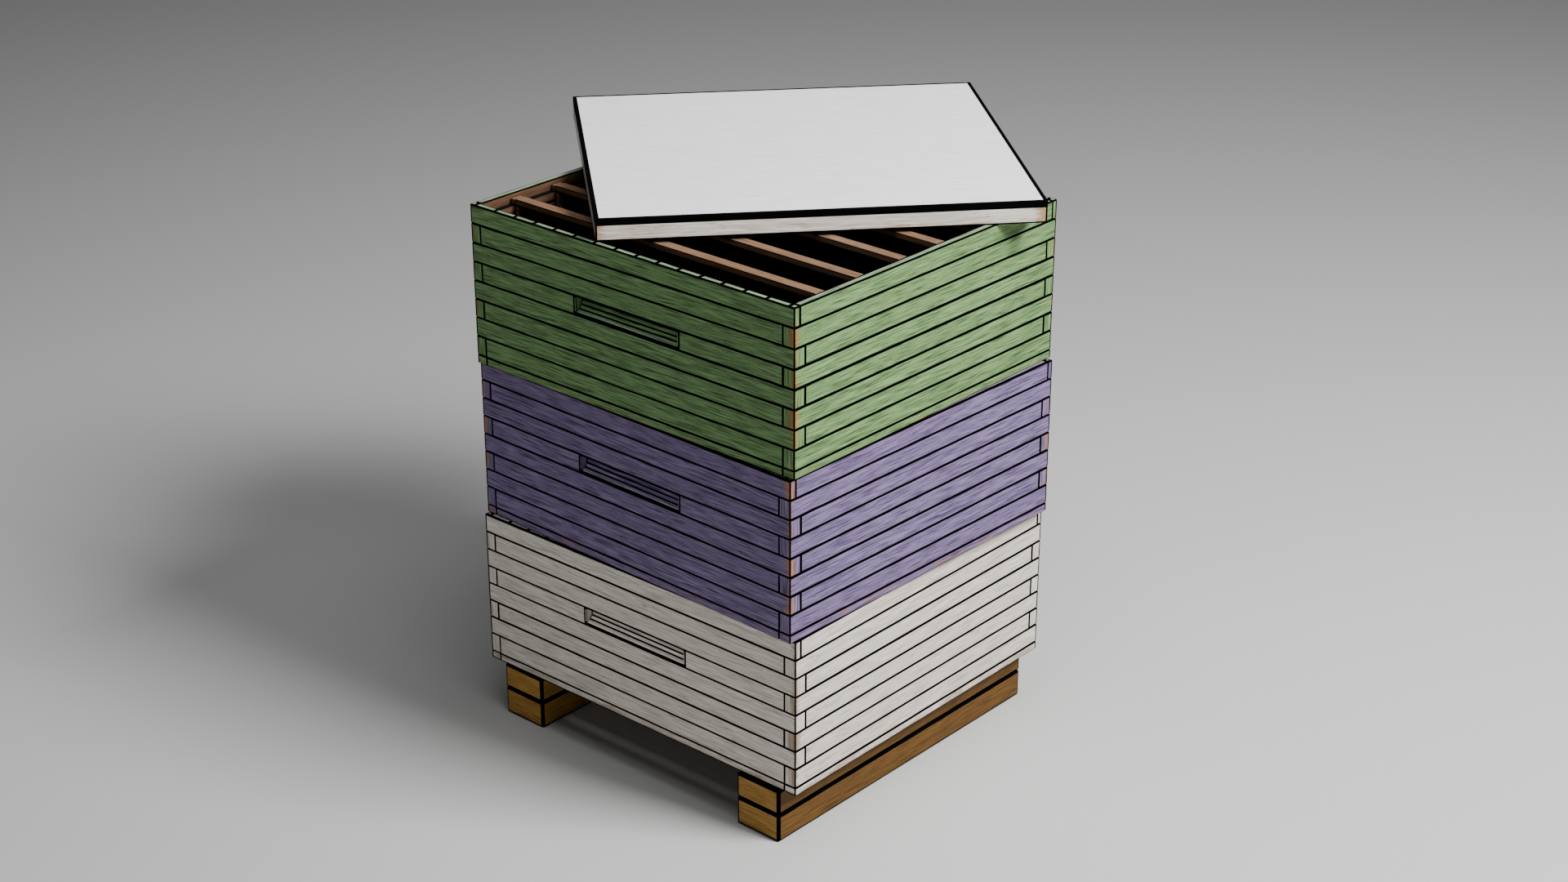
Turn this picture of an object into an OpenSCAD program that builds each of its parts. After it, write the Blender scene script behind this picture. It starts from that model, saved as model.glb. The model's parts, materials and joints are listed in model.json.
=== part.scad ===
// Beehive: three stacked plank-built boxes on a stand, with hanging frames and a flat lid.
// Origin: middle of the stand, on the ground. +X to the right along the front, +Y to the back.

/* [Boxes] */
// Width of a box, left to right
box_w = 505; // [450:1:560]
// Depth of a box, front to back
box_d = 468; // [420:1:520]
// Height of a box
box_h = 201; // [196:1:240]
// Height of one course of planks
course_h = 23.6; // [22:0.1:23.9]
// Height of the thin course at the bottom
base_course_h = 11; // [8:0.5:11.5]
// Thickness of the left and right walls
side_t = 16.6; // [15:0.1:22]
// Thickness of the front and back walls
front_t = 17.7; // [15:0.1:22]
// Thickness of the rim round the top of a box
rim_t = 9.2; // [8:0.1:10]
// Depth of the ledge that carries the frames, below the rim
ledge_drop = 13; // [11:0.5:18]
// Bevel along every plank edge
edge_bevel = 1.2; // [0.4:0.1:2]
// Glue line between one piece of wood and the next
glue_line = 0.1; // [0.05:0.05:0.3]

/* [Rim saw cuts] */
// Number of saw cuts across the front and back rims
cut_count = 16; // [6:1:20]
// Width of one saw cut
cut_w = 2.6; // [1:0.1:4]
// Depth of one saw cut
cut_depth = 1.6; // [0.5:0.1:3]

/* [Hand holds] */
// Length of the scooped recess
grip_w = 160; // [120:1:200]
// Wood left at each end of the block, beside the recess
grip_lip = 2.5; // [1.5:0.5:10]
// Depth of the recess
grip_depth = 9.5; // [7:0.5:12]
// Height of the sill under the recess
grip_sill = 3; // [1:0.5:4]
// Height of the brow over the recess
grip_brow = 1.4; // [1:0.2:3]
// How much each end of the recess slopes in
grip_end_slope = 1; // [0.5:0.5:6]

/* [Stacking] */
// Turn of the bottom box on the stand, degrees
bottom_turn = 0.5; // [-3:0.1:3]
// Turn of the middle box, degrees
middle_turn = -1.1; // [-3:0.1:3]
// Sideways shift of the bottom box
bottom_shift_x = -2.9; // [-6:0.1:6]
// Backward shift of the bottom box
bottom_shift_y = 1.5; // [-6:0.1:6]
// Sideways shift of the middle box
middle_shift_x = 2.2; // [-6:0.1:6]
// Backward shift of the middle box
middle_shift_y = 0.8; // [-6:0.1:6]

/* [Frames] */
// Distance between neighbouring frames
frame_pitch = 68.4; // [60:0.1:70]
// How far each frame of the top box has been pushed from even spacing, front to back
frame_push = [0, -2.4, 4.2, 2.8, 2.4, 0];
// Width of every frame bar, front to back
bar_w = 15; // [12:0.5:22]
// Height of the top bar
top_bar_h = 8; // [6:0.5:11]
// Gap at each end of the top bar, inside the rim
end_gap = 1.5; // [1:0.1:3]
// Thickness of an end bar
end_bar_t = 5.5; // [4:0.5:9]
// Height of the bottom bar
bottom_bar_h = 8; // [6:0.5:12]
// Gap between an end bar and the wall
wall_gap = 1.9; // [1.5:0.1:8]
// Gap under a frame, above the foot of its box
foot_gap = 10; // [8:0.5:14]
// Thickness of the wax foundation
foundation_t = 2.4; // [1:0.1:5]
// Step between a lug and the bar it belongs to
lug_step = 0.8; // [0.4:0.1:2]
// Bevel along the edges of a top bar
bar_bevel = 0.5; // [0.2:0.1:1]

/* [Lid] */
// Width of the lid
lid_w = 517; // [505:1:540]
// Depth of the lid
lid_d = 475; // [468:1:500]
// Height of the rails under the lid
lid_rail_h = 20; // [15:0.5:40]
// Width of the rails under the lid
lid_rail_w = 34; // [25:1:50]
// Thickness of the top panel
lid_top_t = 6.4; // [4:0.1:12]
// Width of the black edging round the top panel
edging_w = 4.8; // [3:0.1:8]
// Bevel along the edges of the rails
rail_bevel = 0.6; // [0.3:0.1:2]
// Turn of the lid from closed, degrees
lid_turn = 48.6; // [0:0.1:60]
// Where the middle of the lid is now, left to right
lid_x = -56.5; // [-80:0.5:80]
// Where the middle of the lid is now, front to back
lid_y = 122; // [0:0.5:130]

/* [Stand] */
// Width over both bearers
stand_w = 460; // [400:1:500]
// Length of a bearer, front to back
bearer_l = 463; // [400:1:500]
// Width of a bearer
bearer_w = 66; // [45:1:90]
// Height of the upper bearer
upper_bearer_h = 33; // [25:0.5:50]
// Height of the lower bearer
lower_bearer_h = 36.5; // [25:0.5:50]
// Bevel along every bearer edge
bearer_bevel = 2.2; // [0.5:0.1:4]
// Distance of the stand's middle in front of the origin
stand_forward = 3; // [0:0.5:10]
// Width of the tie between the two lower bearers
tie_w = 66; // [45:1:90]
// Thickness of the floor panel
floor_t = 4; // [3:0.5:6]
// Gap round the floor panel
floor_gap = 3; // [1:0.5:5]
// Length of the bee entrance slot in the floor
entrance_w = 300; // [100:5:380]
// Width of the bee entrance slot in the floor
entrance_d = 12; // [8:1:20]

/* [Hidden] */

// One box: nine courses, the last one thin, the eighth making up the height
courses = 9;
last_full = courses - 1;
grip_course = 4;
top_up_h = box_h - base_course_h - (last_full - 1) * course_h;
function course_top(n) = box_h - (n - 1) * course_h - (n == courses ? top_up_h - course_h : 0);
function course_height(n) = n == courses ? base_course_h : n == last_full ? top_up_h : course_h;
// In the odd courses above the thin one, the front and back planks run through to the corners
function front_runs_through(n) = n % 2 == 1 && n < courses;

// Where things start, from the ground up
stand_h = lower_bearer_h + upper_bearer_h;
middle_z = stand_h + box_h;
top_z = middle_z + box_h;
rim_z = top_z + box_h;

// Frames
frame_count = 6;
lug_reach = box_w / 2 - rim_t - end_gap;
wall_reach = box_w / 2 - side_t;
end_bar_reach = wall_reach - wall_gap;
bar_foot = box_h - ledge_drop;
inside_reach = end_bar_reach - end_bar_t - glue_line;
function even_place(n) = (n - (frame_count + 1) / 2) * frame_pitch;
function pushed_place(n) = even_place(n) + frame_push[n - 1];

bottom_colour = "#c9c6bb";
middle_colour = "#8f86b4";
top_colour = "#7ba06a";
bare_wood = "#c79a72";
stand_wood = "#a8762e";
wax = "#4a3420";
lid_wood = "#cfc3b4";

// A block with every edge bevelled, its low corner at the origin
module bevelled_block(size, bevel) {
  intersection() {
    linear_extrude(size.z) bevelled_outline([size.x, size.y], bevel);
    translate([0, size.y, 0]) rotate([90, 0, 0])
      linear_extrude(size.y) bevelled_outline([size.x, size.z], bevel);
    rotate([90, 0, 90])
      linear_extrude(size.x) bevelled_outline([size.y, size.z], bevel);
  }
}

// A rectangle with its four corners cut off
module bevelled_outline(size, bevel) {
  polygon([
    [bevel, 0], [size.x - bevel, 0], [size.x, bevel], [size.x, size.y - bevel],
    [size.x - bevel, size.y], [bevel, size.y], [0, size.y - bevel], [0, bevel]
  ]);
}

// A plank that fills the space between two corners, less half a glue line all round
module plank(low, high, bevel = edge_bevel) {
  skin = [glue_line, glue_line, glue_line];
  translate(low + skin / 2) bevelled_block(high - low - skin, bevel);
}

// The saw cuts across a front or back rim
module rim_cuts() {
  run = box_w - 2 * rim_t + cut_w / 2;
  for (i = [0 : cut_count - 1]) {
    x = -run / 2 + i * run / (cut_count - 1);
    translate([x - cut_w / 2, -box_d / 2 - 1, box_h - cut_depth])
      cube([cut_w, rim_t + 2, cut_depth + 1]);
  }
}

// Front wall of a box, in the box's own frame
module front_wall() {
  for (n = [1 : courses]) {
    reach = front_runs_through(n) ? box_w / 2 : wall_reach;
    thick = n == 1 ? rim_t : front_t;
    low_z = course_top(n) - course_height(n);
    if (n == grip_course) {
      block = grip_w / 2 + grip_lip;
      for (side = [-1, 1])
        plank([min(side * block, side * reach), -box_d / 2, low_z],
              [max(side * block, side * reach), -box_d / 2 + thick, course_top(n)]);
    } else if (n == 1) {
      difference() {
        plank([-reach, -box_d / 2, low_z], [reach, -box_d / 2 + thick, course_top(n)]);
        rim_cuts();
      }
    } else {
      plank([-reach, -box_d / 2, low_z], [reach, -box_d / 2 + thick, course_top(n)]);
    }
  }
}

// Left wall of a box, with its top course cut away inside to leave the ledge
module left_wall() {
  for (n = [1 : courses]) {
    corner = n == 1 ? rim_t : front_runs_through(n) ? front_t : 0;
    reach = box_d / 2 - corner;
    low_z = course_top(n) - course_height(n);
    if (n == 1) {
      difference() {
        plank([-box_w / 2, -reach, low_z], [-wall_reach, reach, course_top(n)]);
        translate([-box_w / 2 + rim_t, -box_d / 2, box_h - ledge_drop])
          cube([side_t, box_d, ledge_drop + 1]);
      }
    } else {
      plank([-box_w / 2, -reach, low_z], [-wall_reach, reach, course_top(n)]);
    }
  }
}

// The block that fills the gap in the fourth course of the front, with a scooped recess
module hand_hold() {
  z0 = course_top(grip_course) - course_height(grip_course);
  half = grip_w / 2;
  block = half + grip_lip;
  rise = course_h - grip_sill - grip_brow;
  difference() {
    plank([-block, -box_d / 2, z0], [block, -box_d / 2 + front_t, z0 + course_h]);
    translate([0, -box_d / 2, z0]) intersection() {
      // Profile of the scoop: it rises from the sill in ever steeper flats, then turns over
      translate([-half, 0, 0]) rotate([90, 0, 90]) linear_extrude(grip_w) polygon([
        [-1, grip_sill], [0, grip_sill],
        [grip_depth * 0.58, grip_sill + rise * 0.17], [grip_depth * 0.91, grip_sill + rise * 0.41],
        [grip_depth, grip_sill + rise * 0.72], [grip_depth * 0.8, grip_sill + rise],
        [-1, grip_sill + rise]
      ]);
      linear_extrude(course_h) polygon([
        [-half, 0], [-half, -1], [half, -1], [half, 0],
        [half - grip_end_slope, grip_depth + 1], [-half + grip_end_slope, grip_depth + 1]
      ]);
    }
  }
}

// Puts a child from the box's own frame where each box stands
module at_bottom_box() {
  translate([bottom_shift_x, bottom_shift_y, stand_h]) rotate([0, 0, bottom_turn]) children();
}
module at_middle_box() {
  translate([middle_shift_x, middle_shift_y, middle_z]) rotate([0, 0, middle_turn]) children();
}
module at_top_box() {
  translate([0, 0, top_z]) children();
}

// The same piece for the opposite wall
module for_back() {
  rotate([0, 0, 180]) children();
}

// Top bar of a frame, with a lug at each end that lies on the ledge
module top_bar() {
  body_reach = wall_reach - edge_bevel;
  translate([-body_reach, -bar_w / 2, bar_foot])
    bevelled_block([2 * body_reach, bar_w, top_bar_h], bar_bevel);
  for (side = [-1, 1])
    translate([side > 0 ? body_reach - 1 : -lug_reach, (lug_step - bar_w) / 2, bar_foot])
      cube([lug_reach - body_reach + 1, bar_w - lug_step, top_bar_h - lug_step]);
}

// The two upright end bars and the bottom bar between them
module lower_bars() {
  for (side = [-1, 1])
    translate([side > 0 ? end_bar_reach - end_bar_t : -end_bar_reach, -bar_w / 2, foot_gap])
      cube([end_bar_t, bar_w, bar_foot - glue_line - foot_gap]);
  translate([-inside_reach, -bar_w / 2, foot_gap])
    cube([2 * inside_reach, bar_w, bottom_bar_h]);
}

// The sheet of wax foundation inside the bars
module foundation() {
  low_z = foot_gap + bottom_bar_h + glue_line;
  translate([-inside_reach, -foundation_t / 2, low_z])
    cube([2 * inside_reach, foundation_t, bar_foot - glue_line - low_z]);
}

// A whole frame, for the two lower boxes
module whole_frame(n) {
  translate([0, even_place(n), 0]) {
    color(bare_wood) {
      top_bar();
      lower_bars();
    }
    color(wax) foundation();
  }
}

// A child where frame n of the top box hangs
module at_top_frame(n) {
  at_top_box() translate([0, pushed_place(n), 0]) children();
}

// A bearer with its outer side at x = 0, between two heights
module bearer(low_z, high_z) {
  color(stand_wood) translate([0, -stand_forward, 0])
    plank([0, -bearer_l / 2, low_z], [bearer_w, bearer_l / 2, high_z], bearer_bevel);
}
module lower_bearer() {
  bearer(-glue_line / 2, lower_bearer_h);
}
module upper_bearer() {
  bearer(lower_bearer_h, stand_h);
}
module left_lower_bearer() {
  translate([-stand_w / 2, 0, 0]) lower_bearer();
}
module left_upper_bearer() {
  translate([-stand_w / 2, 0, 0]) upper_bearer();
}
module right_lower_bearer() {
  translate([stand_w / 2 - bearer_w, 0, 0]) lower_bearer();
}
module right_upper_bearer() {
  translate([stand_w / 2 - bearer_w, 0, 0]) upper_bearer();
}

// Holds the two lower bearers apart
module cross_tie() {
  reach = stand_w / 2 - bearer_w;
  color(stand_wood) plank([-reach, -tie_w / 2, -glue_line / 2],
                          [reach, tie_w / 2, lower_bearer_h], bearer_bevel);
}

// Lies on the bearers inside the foot of the bottom box, with the bees' way in near the front
module floor_panel() {
  w = 2 * wall_reach - 2 * floor_gap;
  d = box_d - 2 * front_t - 2 * floor_gap;
  color(bare_wood) at_bottom_box() difference() {
    translate([-w / 2, -d / 2, 0]) cube([w, d, floor_t]);
    translate([-entrance_w / 2, -d / 2 + entrance_d, -1])
      cube([entrance_w, entrance_d, floor_t + 2]);
  }
}

module lid_place() {
  translate([lid_x, lid_y, rim_z]) rotate([0, 0, lid_turn]) children();
}
module lid_top_panel() {
  w = lid_w - 2 * edging_w;
  d = lid_d - 2 * edging_w;
  color("#dcdcda") lid_place() translate([-w / 2, -d / 2, lid_rail_h + glue_line])
    cube([w, d, lid_top_t - glue_line]);
}
module lid_edging() {
  gap = glue_line;
  color("#141414") lid_place() translate([0, 0, lid_rail_h + gap])
    for (turn = [0, 180]) rotate([0, 0, turn]) {
      translate([-lid_w / 2, -lid_d / 2, 0]) cube([lid_w, edging_w - gap, lid_top_t - gap]);
      translate([-lid_w / 2, -lid_d / 2 + edging_w, 0])
        cube([edging_w - gap, lid_d - 2 * edging_w, lid_top_t - gap]);
    }
}
module long_rail() {
  color(lid_wood) plank([-lid_w / 2, -lid_d / 2, 0],
                        [lid_w / 2, -lid_d / 2 + lid_rail_w, lid_rail_h], rail_bevel);
}
module lid_front_rail() {
  lid_place() long_rail();
}
module lid_back_rail() {
  lid_place() for_back() long_rail();
}
module lid_side_rails() {
  reach = lid_d / 2 - lid_rail_w;
  color(lid_wood) lid_place() for (turn = [0, 180]) rotate([0, 0, turn])
    plank([-lid_w / 2, -reach, 0], [-lid_w / 2 + lid_rail_w, reach, lid_rail_h], rail_bevel);
}

// The front block and the back block of one box
module box_hand_holds() {
  hand_hold();
  for_back() hand_hold();
}

left_lower_bearer();
left_upper_bearer();
right_lower_bearer();
right_upper_bearer();
cross_tie();
floor_panel();

color(bottom_colour) at_bottom_box() front_wall();  // bottom_box_front_wall
color(bottom_colour) at_bottom_box() for_back() front_wall();  // bottom_box_back_wall
color(bottom_colour) at_bottom_box() left_wall();  // bottom_box_left_wall
color(bottom_colour) at_bottom_box() for_back() left_wall();  // bottom_box_right_wall
color(bottom_colour) at_bottom_box() box_hand_holds();  // bottom_box_hand_holds

color(middle_colour) at_middle_box() front_wall();  // middle_box_front_wall
color(middle_colour) at_middle_box() for_back() front_wall();  // middle_box_back_wall
color(middle_colour) at_middle_box() left_wall();  // middle_box_left_wall
color(middle_colour) at_middle_box() for_back() left_wall();  // middle_box_right_wall
color(middle_colour) at_middle_box() box_hand_holds();  // middle_box_hand_holds

color(top_colour) at_top_box() front_wall();  // top_box_front_wall
color(top_colour) at_top_box() for_back() front_wall();  // top_box_back_wall
color(top_colour) at_top_box() left_wall();  // top_box_left_wall
color(top_colour) at_top_box() for_back() left_wall();  // top_box_right_wall
color(top_colour) at_top_box() box_hand_holds();  // top_box_hand_holds

for (n = [1 : frame_count]) {
  at_bottom_box() whole_frame(n);
  at_middle_box() whole_frame(n);
  color(bare_wood) at_top_frame(n) top_bar();
  color(bare_wood) at_top_frame(n) lower_bars();
  color(wax) at_top_frame(n) foundation();
}

lid_top_panel();
lid_edging();
lid_front_rail();
lid_back_rail();
lid_side_rails();
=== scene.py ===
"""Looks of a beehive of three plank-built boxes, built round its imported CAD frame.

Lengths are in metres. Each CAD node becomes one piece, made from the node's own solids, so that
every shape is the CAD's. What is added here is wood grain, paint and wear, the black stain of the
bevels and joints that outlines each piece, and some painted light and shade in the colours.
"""

import json
import math
import random

import bmesh
import bpy
from mathutils import Matrix, Vector


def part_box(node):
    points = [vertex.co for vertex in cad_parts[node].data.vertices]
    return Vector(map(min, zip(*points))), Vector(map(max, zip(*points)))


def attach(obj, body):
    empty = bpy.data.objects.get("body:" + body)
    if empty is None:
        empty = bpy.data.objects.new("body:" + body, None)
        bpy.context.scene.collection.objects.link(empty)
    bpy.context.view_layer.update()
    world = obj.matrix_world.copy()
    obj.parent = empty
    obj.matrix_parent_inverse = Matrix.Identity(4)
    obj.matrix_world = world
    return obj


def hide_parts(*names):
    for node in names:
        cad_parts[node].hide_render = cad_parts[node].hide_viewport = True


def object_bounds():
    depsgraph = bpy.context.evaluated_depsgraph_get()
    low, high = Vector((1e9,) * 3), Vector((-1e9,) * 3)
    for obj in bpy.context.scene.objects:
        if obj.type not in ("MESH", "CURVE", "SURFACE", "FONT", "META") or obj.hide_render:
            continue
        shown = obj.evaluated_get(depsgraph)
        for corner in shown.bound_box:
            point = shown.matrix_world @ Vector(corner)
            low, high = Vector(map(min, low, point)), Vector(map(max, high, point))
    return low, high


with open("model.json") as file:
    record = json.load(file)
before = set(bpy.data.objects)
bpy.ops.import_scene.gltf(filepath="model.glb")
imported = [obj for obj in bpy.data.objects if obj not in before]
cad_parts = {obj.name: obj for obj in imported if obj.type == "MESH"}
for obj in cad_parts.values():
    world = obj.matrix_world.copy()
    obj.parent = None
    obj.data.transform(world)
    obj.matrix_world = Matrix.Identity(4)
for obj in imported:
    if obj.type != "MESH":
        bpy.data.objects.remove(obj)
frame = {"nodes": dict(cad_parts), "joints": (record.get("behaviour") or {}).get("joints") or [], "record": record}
cad_low, cad_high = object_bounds()

BOXES = ("bottom", "middle", "top")
FRAME_NUMBERS = range(1, 7)
AXES = Vector((1, 0, 0)), Vector((0, 1, 0)), Vector((0, 0, 1))
SIDES = {"front": -AXES[1], "back": AXES[1], "left": -AXES[0], "right": AXES[0]}

# How the CAD solids are read
WELD = 0.00001                    # points closer than this are one
MERGE_ANGLE = math.radians(0.5)   # faces that meet more flatly than this are one

# What a face is, by the part of its normal along an axis
FLAT_NORMAL = 0.96    # more than this: it looks straight along the axis
LEVEL_NORMAL = 0.3    # less than this, either way: the axis lies in it
SILL_NORMAL = 0.8     # more than this upwards: the sill of a hand-hold
LOOKS_DOWN = -0.05    # less than this upwards: the roof of a hand-hold, left all black as painted shade

# What a face or a solid is, by its place or its size
BEVEL_REACH = 0.0035  # a slanting face narrower than this is a bevel
ON_HULL = 0.0015      # what is closer than this to the hull is on it
CUT_DEPTH = 0.0005    # an upward face this far below the top of its plank is in a saw cut
RECESS_REACH = 0.011  # the recess of a hand-hold is less deep than this
THIN_SHEET = 0.004    # a solid thinner than this is a foundation of wax

# Width of the dark stain inside the bevels, by what an edge is: on the whole group, its foot, its rim,
# the inner edge of its rim, its near upright corner (front right) or another upright corner; on one
# piece, the end of its grain, its lower edge (under), its upper edge (over) or, without any of those,
# a joint
PLANK_STAIN = {
    "joint": 0.0, "foot": 0.0012, "rim": 0.0006, "inside": 0.0012, "near": 0.0001, "far": 0.0018}
SIDE_STAIN = dict(PLANK_STAIN, joint=0.0004, foot=0.0004, rim=0.0004)
INNER_STAIN = {"joint": 0.0001, "rim": 0.0015}
BLOCK_STAIN = dict(PLANK_STAIN, under=0.0028, over=0.0016)
SILL_STAIN = {"joint": 0.0009, "under": 0.0006}
RECESS_STAIN = {"joint": 0.001}
BEARER_STAIN = {"joint": 0.0012}
BAR_STAIN = {"joint": 0.0002, "foot": 0.0014, "end": 0.0009}
PANEL_STAIN = {"joint": 0.0005}
RAIL_STAIN = {"joint": 0.0008, "foot": 0.0012, "near": 0.0015, "far": 0.0015}
NO_STAIN = {"joint": -0.01}

# Where one box stands on another: the rim below, whose black is widened as painted contact shadow, and the foot
# above
COVERED_RIM_STAIN_AND_SHADE = 0.0018
STACKED_FOOT_STAIN = 0.0001

# The joints of one plank are wider or narrower than those of another, and the stain has a soft edge
UNEVEN_STAIN = 0.0003
STAIN_BLUR = 0.0003

# How much farther from wear the long faces of planks and the corners away from the near one are
LONG_FACE_SPARED = 0.002
FAR_CORNER_SPARED = 0.004

# Length and height of the piece of wood that each solid's grain is cut from
WOOD_SIZE = 3.0

dice = random.Random(7)


# ---------------------------------------------------------------- where things are

def box_round(points):
    """Lowest and highest corner of the box round some points."""
    points = list(points)
    low = Vector(min(point[k] for point in points) for k in range(3))
    high = Vector(max(point[k] for point in points) for k in range(3))
    return low, high


def place_of(nodes, turn):
    """The frame of a group of CAD nodes: its middle on plan, turned about Z."""
    low, high = box_round(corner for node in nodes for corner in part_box(node))
    centre = (low + high) / 2
    return Matrix.Translation((centre.x, centre.y, 0)) @ Matrix.Rotation(turn, 4, "Z")


def local_hull(nodes, place):
    """The box round some CAD nodes in the frame of place."""
    inverse = place.inverted()
    return box_round(inverse @ v.co for node in nodes for v in frame["nodes"][node].data.vertices)


def joint(name):
    return next(j for j in frame["joints"] if j["name"] == name)


def box_turn(box):
    """A box's turn on plan, from the way its frames slide."""
    axis = joint(f"{box}_frame_1_slide")["axis"]
    return math.atan2(-axis[0], axis[1])


BODIES = frame["record"]["behaviour"]["bodies"]
PLACES = {box: place_of(BODIES[box + "_box"], box_turn(box)) for box in BOXES}
PLACES["lid"] = place_of(BODIES["lid"], math.radians(-joint("lid_turn")["range_deg"][0]))
PLACES["stand"] = Matrix.Identity(4)


# ---------------------------------------------------------------- shader building

def rgb(red, green, blue):
    return (red, green, blue, 1.0)


WHITE = rgb(1.0, 1.0, 1.0)
BLACK = rgb(0.0015, 0.0015, 0.0015)


class Shader:
    """One node material in the making, with a short call for each kind of node it uses."""

    def __init__(self, name):
        self.material = bpy.data.materials.new(name)
        self.material.use_nodes = True
        self.tree = self.material.node_tree
        self.tree.nodes.clear()

    def node(self, kind, inputs, **settings):
        made = self.tree.nodes.new(kind)
        for key, value in settings.items():
            setattr(made, key, value)
        for key, value in inputs.items():
            if isinstance(value, bpy.types.NodeSocket):
                self.tree.links.new(value, made.inputs[key])
            else:
                made.inputs[key].default_value = value
        return made

    def attribute(self, name):
        return self.node("ShaderNodeAttribute", {}, attribute_name=name)

    def split(self, vector):
        return self.node("ShaderNodeSeparateXYZ", {0: vector}).outputs

    def vector(self, x, y, z):
        return self.node("ShaderNodeCombineXYZ", {0: x, 1: y, 2: z}).outputs[0]

    def math(self, operation, a, b=0.0):
        return self.node("ShaderNodeMath", {0: a, 1: b}, operation=operation).outputs[0]

    def plus(self, a, b):
        return self.math("ADD", a, b)

    def minus(self, a, b):
        return self.math("SUBTRACT", a, b)

    def times(self, a, b):
        return self.math("MULTIPLY", a, b)

    def least(self, a, b):
        return self.math("MINIMUM", a, b)

    def fade(self, value, start, end, low=0.0, high=1.0):
        """Runs from low at start to high at end, smoothly and clamped."""
        return self.node("ShaderNodeMapRange", {
            "Value": value, "From Min": start, "From Max": end, "To Min": low, "To Max": high,
        }, interpolation_type="SMOOTHSTEP").outputs[0]

    def noise(self, place, detail, roughness=0.5):
        inputs = {"Vector": place, "Scale": 1.0, "Detail": detail, "Roughness": roughness}
        return self.node("ShaderNodeTexNoise", inputs).outputs["Fac"]

    def mix(self, factor, a, b, blend="MIX"):
        inputs = {0: factor, 6: a, 7: b}
        return self.node("ShaderNodeMix", inputs, data_type="RGBA", blend_type=blend).outputs[2]

    def finish(self, colour, roughness, shine, height, bump_strength, bump_distance):
        bump = self.node("ShaderNodeBump", {
            "Height": height, "Strength": bump_strength, "Distance": bump_distance})
        surface = self.node("ShaderNodeBsdfPrincipled", {
            "Base Color": colour, "Roughness": roughness, "Specular IOR Level": shine,
            "Normal": bump.outputs[0]})
        self.node("ShaderNodeOutputMaterial", {"Surface": surface.outputs[0]})
        return self.material


# ---------------------------------------------------------------- wood

# Noise fields in the wood: cells to a metre along the grain and across it, detail, roughness, and the
# depth in the noise at which each is taken, so that no two are alike
FIELDS = {
    "fine": (28.0, 1450.0, 2.0, 0.6, 0.0),
    "streaks": (14.0, 725.0, 3.0, 0.6, 11.0),
    "patches": (11.2, 116.0, 4.0, 0.65, 23.0),
    "crack_lines": (9.8, 261.0, 2.0, 0.5, 37.0),
    "cracked_parts": (14.0, 130.0, 2.0, 0.5, 51.0),
    "ragged_wear": (26.0, 190.0, 4.0, 0.7, 71.0),
}
NOISE_MIDDLE = 0.5

# The grain wanders from the length of the piece, in slow waves of noise
DRIFT_RUN = 5.0        # cells to a metre along the grain
DRIFT_RISE = 12.0      # cells to a metre across it
DRIFT_DETAIL = 1.0
DRIFT = 0.01

# What a piece's seed is multiplied by
DEPTH_STEP = 90.0      # for its depth in the noise
LUCK_STEP = 17.3       # for its luck with wear

# Fades, as in Shader.fade: of a noise field
PATCHES = (0.3, 0.7, 0.1, 0.55)
DARK_STREAKS = (0.48, 0.7)
DARK_GRAIN = (0.46, 0.64)
LIGHT_GRAIN = (0.47, 0.36, 0.0, 0.9)
CRACKED_PART = (0.48, 0.58)
BARE_GRAIN = (0.4, 0.6)
WOOD_ROUGHNESS = (0.3, 0.7, 0.62, 0.8)
# of the distance from the middle of a field
CRACK_LINE = (0.014, 0.003)
# of the distance below the upper edge of a face, for painted shade
DEPTH_SHADE = (0.0, 0.014)
# of how far a face looks up: for the painted sheen of the top light on faces that look up, and the painted light
# on the slopes of the hand-holds
PAINTED_SHEEN = (0.5, 0.9)
SLOPE_BEGINS = (0.25, 0.4)
SLOPE_ENDS = (0.98, 0.9)

# How strong the dark marks are; the first two are for a streak of 1
STREAK_STRENGTH = 0.22
GRAIN_STRENGTH = 1.6
CRACK_BLACKNESS = 0.75
DEPTH_SHADE_BLACKNESS = 0.7
BARE_DARKNESS = 0.6
DARKEST_TINT = rgb(0.93, 0.93, 0.93)

# Wear: the first four are for a reach of 1
WEAR_RAGGED = 4.5      # how far its edge wanders with the noise
WEAR_DEPTH = 2.0       # how much farther in it goes on the piece that wears most
WEAR_START = 0.6       # where it begins to show
WEAR_FULL = -0.8       # where the wood is as bare as it gets
MOST_WORN = 0.92       # how bare that is
FOOT_SLOWNESS = 0.4    # how much of the height above the foot counts as distance from wear

# The surface: how much cracks and streaks are part of its height, and its bumps and shine
CRACK_HEIGHT = 1.5
STREAK_HEIGHT = 0.6
WOOD_BUMP = 0.35
WOOD_BUMP_DEPTH = 0.0006
WOOD_SHINE = 0.3


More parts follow.
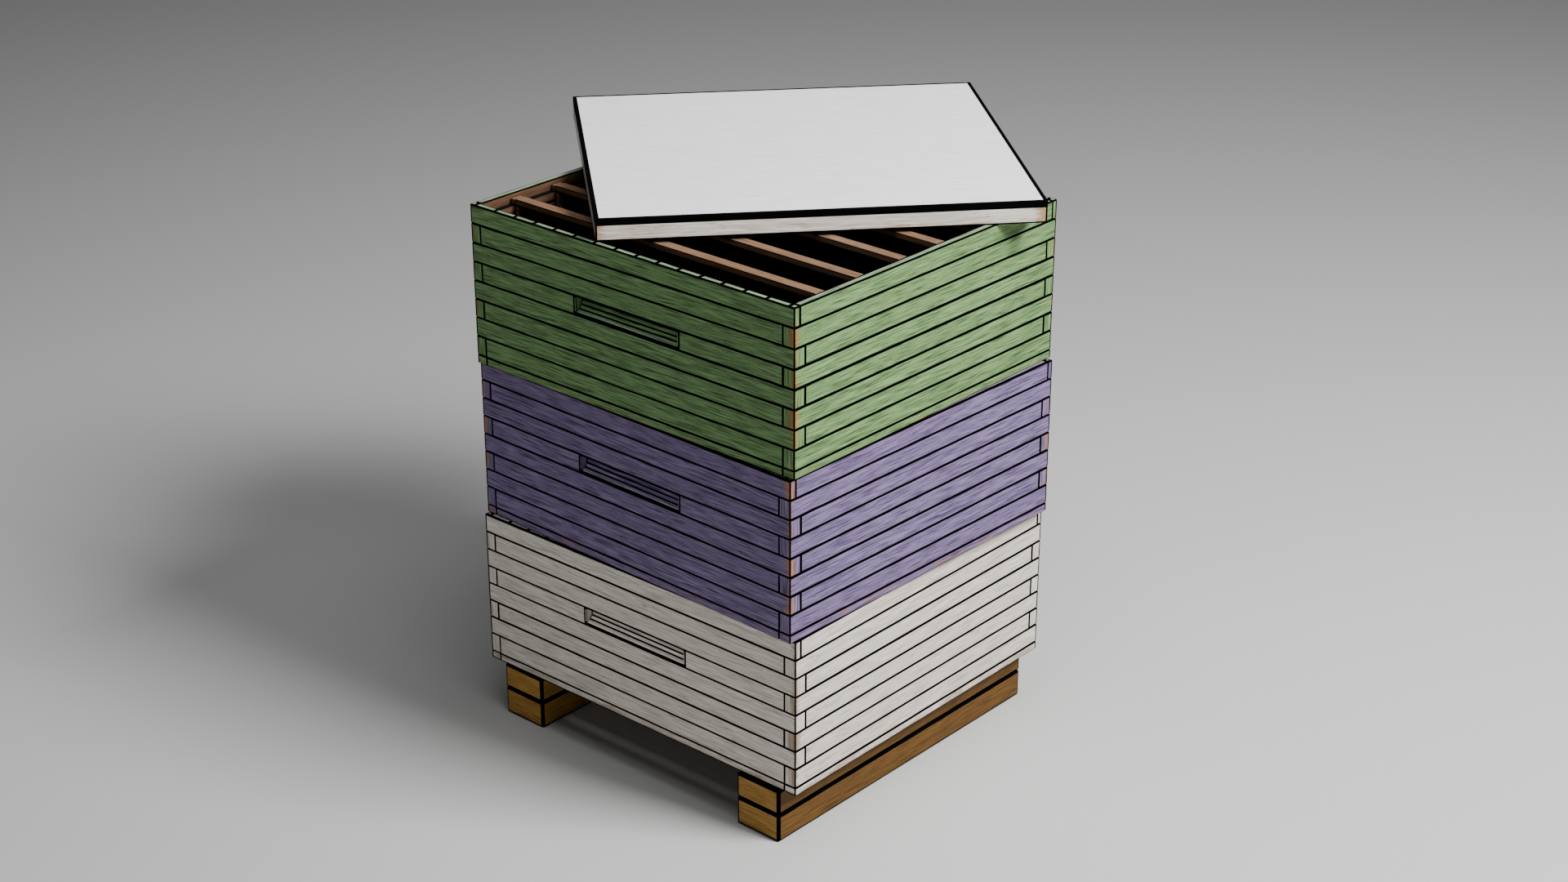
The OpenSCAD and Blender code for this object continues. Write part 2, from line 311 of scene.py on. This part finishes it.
class Wood(Shader):
    """A shader whose noise runs along the grain of each piece, by the attributes that mark() writes."""

    def __init__(self, name):
        super().__init__(name)
        self.along, across, self.seed = self.split(self.attribute("grain").outputs["Vector"])
        low_edges = self.split(self.attribute("low_edges").outputs["Vector"])
        high_edges = self.split(self.attribute("high_edges").outputs["Vector"])
        self.from_start, self.from_foot, self.from_low_corner = low_edges
        self.from_end, self.from_top, self.from_high_corner = high_edges
        self.depth = self.times(self.seed, DEPTH_STEP)
        run = self.times(self.along, DRIFT_RUN)
        rise = self.times(across, DRIFT_RISE)
        drift = self.noise(self.vector(run, rise, self.depth), DRIFT_DETAIL)
        self.across = self.plus(across, self.times(drift, DRIFT))
        self.fine = self.field("fine")
        self.streaks = self.field("streaks")

    def field(self, name):
        """One of the noise fields in FIELDS."""
        run, rise, detail, roughness, shift = FIELDS[name]
        place = self.vector(self.times(self.along, run), self.times(self.across, rise),
                            self.plus(self.depth, shift))
        return self.noise(place, detail, roughness)

    def grain(self, base, light, dark, streak):
        """The colour of the grain, without cracks."""
        colour = self.mix(self.fade(self.field("patches"), *PATCHES), base, light)
        streaky = self.fade(self.streaks, *DARK_STREAKS, 0.0, streak * STREAK_STRENGTH)
        grainy = self.fade(self.fine, *DARK_GRAIN, 0.0, streak * GRAIN_STRENGTH)
        colour = self.mix(grainy, self.mix(streaky, colour, dark), dark)
        return self.mix(self.fade(self.fine, *LIGHT_GRAIN), colour, light)

    def cracks(self, strength):
        """Where the cracks are: thin lines between two halves of a field, in some parts of the wood."""
        from_line = self.math("ABSOLUTE", self.minus(self.field("crack_lines"), NOISE_MIDDLE))
        cracked_part = self.fade(self.field("cracked_parts"), *CRACKED_PART, 0.0, strength)
        return self.times(self.fade(from_line, *CRACK_LINE), cracked_part)

    def worn(self, reach, foot_spared, soundness):
        """Where paint has rubbed off, at the upright corners and along the foot."""
        luck = self.math("FRACT", self.times(self.seed, LUCK_STEP))
        depth = self.times(self.minus(luck, soundness), reach * WEAR_DEPTH)
        from_corner = self.minus(self.least(self.from_low_corner, self.from_high_corner), depth)
        height = self.attribute("height").outputs["Fac"]
        from_foot = self.plus(self.times(height, FOOT_SLOWNESS), foot_spared)
        ragged = self.times(self.minus(self.field("ragged_wear"), NOISE_MIDDLE), reach * WEAR_RAGGED)
        spare = self.minus(self.least(from_corner, from_foot), ragged)
        return self.fade(spare, reach * WEAR_START, reach * WEAR_FULL, 0.0, MOST_WORN)

    def painted_light(self, colour, sheen_saturation):
        """Painted light: faces that look up lose colour as a painted sheen of the top light, and the slopes
        of the hand-holds are brightened as painted light in their shaded recess.
        """
        normal = self.node("ShaderNodeNewGeometry", {}).outputs["Normal"]
        up = self.split(normal)[2]
        slope_light = self.times(self.fade(up, *SLOPE_BEGINS), self.fade(up, *SLOPE_ENDS))
        return self.node("ShaderNodeHueSaturation", {
            "Color": colour, "Value": self.plus(1.0, slope_light),
            "Saturation": self.fade(up, *PAINTED_SHEEN, 1.0, sheen_saturation)}).outputs[0]

    def stain(self):
        """Where the black stain is: beyond the nearest of the four stained edges."""
        nearest = self.least(self.least(self.from_start, self.from_end),
                             self.least(self.from_foot, self.from_top))
        return self.fade(nearest, 0.0, STAIN_BLUR, 1.0, 0.0)


def timber(name, base, light, dark, streak=0.65, crack=0.6, wear=None, wear_reach=0.0,
           foot_spared=0.002, soundness=0.15, depth_shade=0.0, sheen_saturation=1.0):
    """Wood with its grain along each piece: base colour, paler patches, dark streaks and fine cracks.

    wear is the colour of bare wood where paint has rubbed off: about wear_reach in from the upright
    corners, on all but the sound share of the pieces, and in patches along the foot, fewer the more
    the foot is spared. depth_shade is how dark each face gets below its upper edge, as painted shade.
    sheen_saturation is how much colour is left in the faces that look up, under their painted sheen.
    """
    wood = Wood(name)
    cracks = wood.cracks(crack)
    colour = wood.grain(base, light, dark, streak)
    colour = wood.mix(cracks, colour, wood.mix(CRACK_BLACKNESS, dark, BLACK))
    # Every plank has its own slight tint
    colour = wood.mix(1.0, colour, wood.mix(wood.seed, DARKEST_TINT, WHITE), "MULTIPLY")
    if wear is not None:
        bare = wood.mix(wood.fade(wood.fine, *BARE_GRAIN), wear, wood.mix(BARE_DARKNESS, wear, dark))
        colour = wood.mix(wood.worn(wear_reach, foot_spared, soundness), colour, bare)
    # Painted shade: each face darkens below its upper edge, as the inside of a box does in shade
    if depth_shade:
        depth_shade_mask = wood.fade(wood.from_top, *DEPTH_SHADE, 0.0, depth_shade)
        colour = wood.mix(depth_shade_mask, colour, wood.mix(DEPTH_SHADE_BLACKNESS, dark, BLACK))
    stain = wood.stain()
    # Painted light: a sheen on faces that look up and brighter hand-hold slopes, under the black stain
    colour = wood.mix(stain, wood.painted_light(colour, sheen_saturation), BLACK)
    height = wood.plus(wood.minus(wood.fine, wood.times(cracks, CRACK_HEIGHT)),
                       wood.times(wood.streaks, STREAK_HEIGHT))
    roughness = wood.fade(wood.fine, *WOOD_ROUGHNESS)
    shine = wood.fade(stain, 0.0, 1.0, WOOD_SHINE, 0.0)
    return wood.finish(colour, roughness, shine, height, WOOD_BUMP, WOOD_BUMP_DEPTH)


# ---------------------------------------------------------------- materials

def plain(name, colour, other, roughness, shine=0.3):
    """A smooth painted or waxed surface with a faint mottle."""
    cells, detail, mottle_roughness = 90.0, 4.0, 0.6
    bump_strength, bump_depth = 0.2, 0.0004
    s = Shader(name)
    place = s.node("ShaderNodeTexCoord", {}).outputs["Object"]
    scaled = s.node("ShaderNodeVectorMath", {0: place, 1: (cells, cells, cells)}, operation="MULTIPLY")
    mottle = s.noise(scaled.outputs[0], detail, mottle_roughness)
    return s.finish(s.mix(mottle, colour, other), roughness, shine, mottle, bump_strength, bump_depth)


GREEN = timber(
    "green_paint",
    base=rgb(0.127, 0.238, 0.08), light=rgb(0.217, 0.375, 0.148), dark=rgb(0.034, 0.066, 0.02),
    wear=rgb(0.38, 0.17, 0.045), wear_reach=0.0065, sheen_saturation=0.6)
PURPLE = timber(
    "purple_paint",
    base=rgb(0.155, 0.11, 0.228), light=rgb(0.27, 0.2, 0.37), dark=rgb(0.044, 0.03, 0.07),
    wear=rgb(0.44, 0.2, 0.065), wear_reach=0.0075, sheen_saturation=0.6)
GREY = timber(
    "grey_paint",
    base=rgb(0.67, 0.595, 0.52), light=rgb(0.85, 0.785, 0.72), dark=rgb(0.43, 0.38, 0.32),
    wear=rgb(0.25, 0.14, 0.065), wear_reach=0.007, foot_spared=-0.0015)
# Bare wood inside the boxes, made darker than the frame wood as painted shade of the inside
SHADED_INNER_WOOD = timber(
    "shaded_inner_wood",
    base=rgb(0.1, 0.045, 0.02), light=rgb(0.145, 0.073, 0.036), dark=rgb(0.035, 0.014, 0.006),
    streak=0.5, depth_shade=0.7)
FRAME_WOOD = timber(
    "frame_wood",
    base=rgb(0.18, 0.1, 0.053), light=rgb(0.25, 0.15, 0.088), dark=rgb(0.07, 0.03, 0.011),
    streak=0.5)
# A darker copy of STAND_END: painted shade on the long sides of the right bearers and on the tie
SHADED_STAND_WOOD = timber(
    "stand_wood",
    base=rgb(0.102, 0.045, 0.004), light=rgb(0.16, 0.075, 0.008), dark=rgb(0.035, 0.013, 0.001),
    streak=0.5, crack=0.3)
STAND_END = timber(
    "stand_end",
    base=rgb(0.3, 0.145, 0.02), light=rgb(0.42, 0.23, 0.05), dark=rgb(0.13, 0.06, 0.01),
    streak=0.5, crack=0.3)
# A paler wood for the left bearers: painted light where the hive's shadow falls on them
LIT_LEFT_BEARER_WOOD = timber(
    "lit_left_bearer_wood",
    base=rgb(0.42, 0.2, 0.03), light=rgb(0.56, 0.31, 0.07), dark=rgb(0.18, 0.08, 0.014),
    streak=0.5, crack=0.3)
FLOOR_WOOD = timber(
    "floor_wood",
    base=rgb(0.3, 0.17, 0.08), light=rgb(0.36, 0.22, 0.12), dark=rgb(0.1, 0.05, 0.02))
LID_PAINT = timber(
    "lid_paint",
    base=rgb(0.8, 0.8, 0.8), light=rgb(0.88, 0.88, 0.88), dark=rgb(0.66, 0.66, 0.66),
    streak=0.45, crack=0.3)
LID_WOOD = timber(
    "lid_wood",
    base=rgb(0.72, 0.65, 0.57), light=rgb(0.87, 0.82, 0.76), dark=rgb(0.42, 0.33, 0.25),
    streak=0.4, wear=rgb(0.36, 0.16, 0.045), wear_reach=0.009, soundness=-0.1)
LEDGE = plain("ledge_strip", rgb(0.002, 0.002, 0.002), rgb(0.004, 0.004, 0.004), 0.7, shine=0.05)
WAX = plain("wax", rgb(0.008, 0.005, 0.002), rgb(0.02, 0.011, 0.005), 0.55)
EDGING = plain("black_edging", rgb(0.001, 0.001, 0.001), rgb(0.0018, 0.0018, 0.0018), 0.8, shine=0.02)

# The paint of each box, and the name of its slot
PAINTS = {
    "bottom": (GREY, "grey_paint"), "middle": (PURPLE, "purple_paint"), "top": (GREEN, "green_paint")}


# ---------------------------------------------------------------- reading the faces of the CAD solids

def islands(bm):
    """The faces of each separate solid in a bmesh, always in the same order."""
    seen = set()
    for first in bm.faces:
        if first in seen:
            continue
        seen.add(first)
        found = [first]
        for face in found:
            for edge in face.edges:
                for other in edge.link_faces:
                    if other not in seen:
                        seen.add(other)
                        found.append(other)
        yield sorted(found, key=lambda f: f.index)


def corners_of(faces):
    return box_round(v.co for face in faces for v in face.verts)


def longest_axis(vector, axes=range(3)):
    """Which of the axes a vector reaches farthest along."""
    return max(axes, key=lambda k: abs(vector[k]))


def looks_up(face):
    return face.normal.z > FLAT_NORMAL


def looks_sideways(face):
    return abs(face.normal.x) > FLAT_NORMAL


def span(face, direction):
    values = [v.co.dot(direction) for v in face.verts]
    return min(values), max(values)


def grain_of(face, size):
    """The axis the grain runs along on a face and the direction across it; a bevel has neither."""
    level = [k for k in range(3) if abs(face.normal[k]) < LEVEL_NORMAL]
    if not level:
        return None
    longest = longest_axis(size)
    run = longest if longest in level else longest_axis(size, level)
    across = AXES[run].cross(face.normal).normalized()
    if across[longest_axis(across)] < 0:
        across = -across
    first, last = span(face, across)
    if len(level) == 1 and last - first < BEVEL_REACH:
        return None
    return run, across


def kind_of_edge(face, direction, value, is_high, hull, run):
    """What the edge of a face that lies at a value along a direction is, as in PLANK_STAIN."""
    low, high = hull
    limit = high if is_high else low
    k = longest_axis(direction)
    centre = face.calc_center_median()
    if abs(direction[k]) > FLAT_NORMAL and abs(value - limit[k]) < ON_HULL:
        if k == 2 and not is_high:
            return "foot"
        if k == 2 or looks_up(face):
            return "rim"
        on_front = k == 0 and is_high and centre.y - low.y < ON_HULL
        on_right = k == 1 and not is_high and high.x - centre.x < ON_HULL
        return "near" if on_front or on_right else "far"
    if looks_up(face) and high.z - centre.z < ON_HULL:
        return "inside"
    if k == run:
        return "end"
    return "over" if is_high else "under"


def stained_edges(face, stain, hull, run, across):
    """Where a face's stain ends, along the grain and across it: at the low edges and the high ones."""
    starts, ends = [], []
    for direction in (AXES[run], across):
        first, last = span(face, direction)
        low_kind = kind_of_edge(face, direction, first, False, hull, run)
        high_kind = kind_of_edge(face, direction, last, True, hull, run)
        starts.append(first + stain.get(low_kind, stain["joint"]))
        ends.append(last - stain.get(high_kind, stain["joint"]))
    return starts, ends


def spared_corners(face, hull, level, spared):
    """How much farther from wear a face is at its low and its high upright corner.

    The near corner is spared least, as the hive is handled from there."""
    low, high = hull
    centre = face.calc_center_median()
    low_spared = high_spared = spared + FAR_CORNER_SPARED
    if level == 1 and high.x - centre.x < ON_HULL:
        low_spared = spared
    if level == 0 and centre.y - low.y < ON_HULL:
        high_spared = spared
    return low_spared, high_spared


def mark(bm, faces, stain_of, hull=None, long_face_spared=0.0):
    """Writes on each face of a solid what Wood reads: the place along and across the grain and the
    seed of the solid, how far it is inside the stain at its four edges, how far from wear at the two
    upright corners of the hull, which is a group's whole box, and how high above the hull's foot.

    stain_of gives the stain of a face; a face without one is all black, as the bevels are."""
    black_at_edges, far_from_wear = -1.0, 1.0
    layers = bm.loops.layers
    grain = layers.float_vector["grain"]
    low_edges = layers.float_vector["low_edges"]
    high_edges = layers.float_vector["high_edges"]
    height = layers.float["height"]
    low, high = corners_of(faces)
    hull = hull or (low, high)
    size = high - low
    longest = longest_axis(size)
    seed = dice.random()
    shift = Vector((dice.uniform(0, WOOD_SIZE), dice.uniform(0, WOOD_SIZE)))
    for face in faces:
        stain = stain_of(face)
        directions = grain_of(face, size) if stain else None
        if directions is None:
            for loop in face.loops:
                loop[grain] = (loop.vert.co[longest], 0.0, seed)
                loop[low_edges] = (black_at_edges, black_at_edges, far_from_wear)
                loop[high_edges] = loop[low_edges]
                loop[height] = far_from_wear
            continue
        run, across = directions
        level = run if run != 2 else longest_axis(across, (0, 1))
        starts, ends = stained_edges(face, stain, hull, run, across)
        spared = long_face_spared if run == longest else 0.0
        low_spared, high_spared = spared_corners(face, hull, level, spared)
        for loop in face.loops:
            point = loop.vert.co
            along, rise = point[run], point.dot(across)
            from_low_corner = point[level] - hull[0][level] + low_spared
            from_high_corner = hull[1][level] - point[level] + high_spared
            loop[grain] = (along + shift.x, rise + shift.y, seed)
            loop[low_edges] = (along - starts[0], rise - starts[1], from_low_corner)
            loop[high_edges] = (ends[0] - along, ends[1] - rise, from_high_corner)
            loop[height] = point.z - hull[0].z


# ---------------------------------------------------------------- pieces from the CAD solids

def read_solids(node, place):
    """A CAD node's solids as one clean bmesh, in the frame of place, with empty layers for mark()."""
    bm = bmesh.new()
    bm.from_mesh(frame["nodes"][node].data)
    bm.transform(place.inverted())
    bmesh.ops.remove_doubles(bm, verts=bm.verts, dist=WELD)
    bmesh.ops.dissolve_limit(bm, angle_limit=MERGE_ANGLE, verts=bm.verts, edges=bm.edges)
    bm.faces.index_update()
    for name in ("grain", "low_edges", "high_edges"):
        bm.loops.layers.float_vector.new(name)
    bm.loops.layers.float.new("height")
    return bm


def add_piece(name, bm, place, materials, body, slot, replaced):
    """Turns a bmesh into a piece that rides on a body and stands in for a CAD node."""
    bm.transform(place)
    mesh = bpy.data.meshes.new(name)
    bm.to_mesh(mesh)
    bm.free()
    for material in materials:
        mesh.materials.append(material)
    piece = bpy.data.objects.new(name, mesh)
    bpy.context.scene.collection.objects.link(piece)
    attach(piece, body)
    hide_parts(replaced)


def in_saw_cut(face, low, high):
    """Whether a face of a rim plank is a cheek or the bottom of one of its saw cuts."""
    centre = face.calc_center_median()
    is_cheek = looks_sideways(face) and min(centre.x - low.x, high.x - centre.x) > ON_HULL
    is_bottom = looks_up(face) and centre.z < high.z - CUT_DEPTH
    return is_cheek or is_bottom


def painted_stain(face, box, uneven):
    """The stain of a painted face of a wall; on the rim of a box that another stands on, widened as painted
    contact shadow.
    """
    stain = SIDE_STAIN if looks_sideways(face) else PLANK_STAIN
    is_covered = box != "top" and looks_up(face)
    rim_stain_or_shade = COVERED_RIM_STAIN_AND_SHADE if is_covered else stain["rim"]
    foot_stain = stain["foot"] if box == "bottom" else STACKED_FOOT_STAIN
    return dict(stain, joint=stain["joint"] + uneven, rim=rim_stain_or_shade, foot=foot_stain)


def wall(box, side):
    """One wall of a box: painted outside and on its rim, bare inside, with a dark ledge in the sides."""
    place = PLACES[box]
    body = box + "_box"
    node = f"{body}_{side}_wall"
    paint, slot = PAINTS[box]
    materials = (paint, SHADED_INNER_WOOD, LEDGE)
    bm = read_solids(node, place)
    hull = local_hull(BODIES[body], place)
    inward = -SIDES[side]
    has_ledge = side in ("left", "right")
    for faces in list(islands(bm)):
        low, high = corners_of(faces)
        is_rim = high.z > hull[1].z - ON_HULL
        uneven = dice.uniform(-UNEVEN_STAIN, UNEVEN_STAIN)

        def stain_of(face):
            if is_rim and not has_ledge and in_saw_cut(face, low, high):
                return None
            if face.normal.dot(inward) > FLAT_NORMAL:
                return INNER_STAIN
            return painted_stain(face, box, uneven)

        mark(bm, faces, stain_of, hull, LONG_FACE_SPARED)
        for face in faces:
            is_below_rim = face.calc_center_median().z < high.z - ON_HULL
            if is_rim and has_ledge and looks_up(face) and is_below_rim:
                face.material_index = materials.index(LEDGE)
            elif face.normal.dot(inward) > FLAT_NORMAL or looks_up(face) and not is_rim:
                face.material_index = materials.index(SHADED_INNER_WOOD)
    add_piece(node + "_planks", bm, place, materials, body, slot, node)


def hand_holds(box):
    """The two blocks of a box with a scooped recess for the hands."""
    place = PLACES[box]
    body = box + "_box"
    node = body + "_hand_holds"
    paint, slot = PAINTS[box]
    bm = read_solids(node, place)
    hull = local_hull(BODIES[body], place)

    def stain_of(face):
        depth = hull[1].y - abs(face.calc_center_median().y)
        in_recess = ON_HULL < depth < RECESS_REACH and abs(face.normal.z) < FLAT_NORMAL
        if not in_recess:
            return BLOCK_STAIN
        if face.normal.z > SILL_NORMAL:
            return SILL_STAIN
        # The roof of the recess, which looks down, gets no stain and so is all black: painted shade
        return RECESS_STAIN if face.normal.z > LOOKS_DOWN else None

    for faces in list(islands(bm)):
        mark(bm, faces, stain_of, hull)
    add_piece(node + "_blocks", bm, place, (paint,), body, slot, node)


def timbers(node, name, place, materials, body, slot, stain, is_second=lambda face, size: False):
    """A CAD node as stained timber, each of its solids with grain of its own.

    is_second tells which faces have the second material, from the face and the size of its solid."""
    bm = read_solids(node, place)
    for faces in list(islands(bm)):
        mark(bm, faces, lambda face: stain)
        low, high = corners_of(faces)
        for face in faces:
            face.material_index = int(is_second(face, high - low))
    add_piece(name, bm, place, materials, body, slot, node)


def bar_frame(box, number):
    """A frame to hang in a box: three pieces in the top box, one in the others, as in the CAD."""
    place = PLACES[box]
    body = f"{box}_frame_{number}"
    if box != "top":
        timbers(body, body + "_bars", place, (FRAME_WOOD, WAX), body, "frame_wood", BAR_STAIN,
                lambda face, size: size.y < THIN_SHEET)
        return
    for part in ("top_bar", "lower_bars"):
        node = f"{body}_{part}"
        timbers(node, node + "_wood", place, (FRAME_WOOD,), body, "frame_wood", BAR_STAIN)
    node = body + "_foundation"
    timbers(node, node + "_sheet", place, (WAX,), body, "wax", NO_STAIN)


def stand():
    """The bearers, the tie between them and the floor.

    The left bearers have a paler wood than the right ones, as painted light where the hive's shadow
    falls on them. The right ones are golden only at their sawn ends; their long sides, like the tie,
    have a darker copy of that wood as painted shade."""
    place = PLACES["stand"]
    woods = {"left": (LIT_LEFT_BEARER_WOOD, LIT_LEFT_BEARER_WOOD), "right": (SHADED_STAND_WOOD, STAND_END)}
    for side, materials in woods.items():
        for level in ("lower", "upper"):
            node = f"{side}_{level}_bearer"
            timbers(node, node + "_timber", place, materials, "stand", "stand_wood", BEARER_STAIN,
                    lambda face, size: abs(face.normal.y) > FLAT_NORMAL)
    timbers("cross_tie", "cross_tie_timber", place, (SHADED_STAND_WOOD,), "stand", "stand_wood", BEARER_STAIN)
    timbers("floor_panel", "floor_panel_board", PLACES["bottom"], (FLOOR_WOOD,), "stand", "floor_wood",
            PANEL_STAIN)


def lid():
    """The white top panel, the black strips round it and the rails under it."""
    place = PLACES["lid"]
    timbers("lid_top_panel", "lid_top_panel_board", place, (LID_PAINT,), "lid", "lid_paint", NO_STAIN)
    timbers("lid_edging", "lid_edging_strips", place, (EDGING,), "lid", "black_edging", NO_STAIN)
    for rail in ("lid_front_rail", "lid_back_rail", "lid_side_rails"):
        timbers(rail, rail + "_timber", place, (LID_WOOD,), "lid", "lid_wood", RAIL_STAIN)


for box in BOXES:
    for side in SIDES:
        wall(box, side)
    hand_holds(box)
    for number in FRAME_NUMBERS:
        bar_frame(box, number)
stand()
lid()


# ---------------------------------------------------------------- studio

def put(thing, aim, azimuth, elevation, distance):
    """Stands a light or camera round the aim and points it there; azimuth 0 is in front."""
    turn, rise = math.radians(azimuth), math.radians(elevation)
    back = Vector((math.sin(turn) * math.cos(rise), -math.cos(turn) * math.cos(rise), math.sin(rise)))
    thing.location = aim + back * distance
    thing.rotation_euler = (-back).to_track_quat("-Z", "Y").to_euler()
    bpy.context.scene.collection.objects.link(thing)


def floor():
    reach = 14.0
    mesh = bpy.data.meshes.new("floor")
    corners = [(-reach, -reach, 0), (reach, -reach, 0), (reach, reach, 0), (-reach, reach, 0)]
    mesh.from_pydata(corners, [], [(0, 1, 2, 3)])
    mesh.materials.append(plain("studio_floor", rgb(0.5, 0.5, 0.495), rgb(0.51, 0.51, 0.505), 0.8))
    sheet = bpy.data.objects.new("floor", mesh)
    sheet.location.z = cad_low.z
    bpy.context.scene.collection.objects.link(sheet)


def sky():
    world = bpy.data.worlds.new("studio")
    world.use_nodes = True
    background = world.node_tree.nodes["Background"]
    background.inputs["Color"].default_value = rgb(0.9, 0.92, 0.95)
    background.inputs["Strength"].default_value = 0.05
    bpy.context.scene.world = world


def camera():
    """The camera that was fitted to the photo."""
    data = bpy.data.cameras.new("camera")
    data.lens = 60.62
    eye = bpy.data.objects.new("camera", data)
    put(eye, Vector((0.0173, 0.0153, 0.3646)), azimuth=41.47, elevation=24.28, distance=3.217)
    bpy.context.scene.camera = eye


def area_light(name, aim, size, power, colour=(1.0, 1.0, 1.0), **place):
    """A square soft light that the camera does not see; place is as in put()."""
    data = bpy.data.lights.new(name, "AREA")
    data.shape = "SQUARE"
    data.size = size
    data.energy = power
    data.color = colour
    light = bpy.data.objects.new(name, data)
    light.visible_camera = False
    put(light, aim, **place)


middle = (cad_low + cad_high) / 2
low_middle = Vector((middle.x, middle.y, 0.25))
floor()
sky()
camera()
area_light("key", middle, size=1.1, power=215, azimuth=100, elevation=46, distance=3.2)
area_light("top", middle, size=1.8, power=40, azimuth=60, elevation=78, distance=3.0)
area_light("fill", low_middle, size=1.0, power=7.6, colour=(0.88, 0.97, 1.0),
           azimuth=5, elevation=10, distance=3.2)
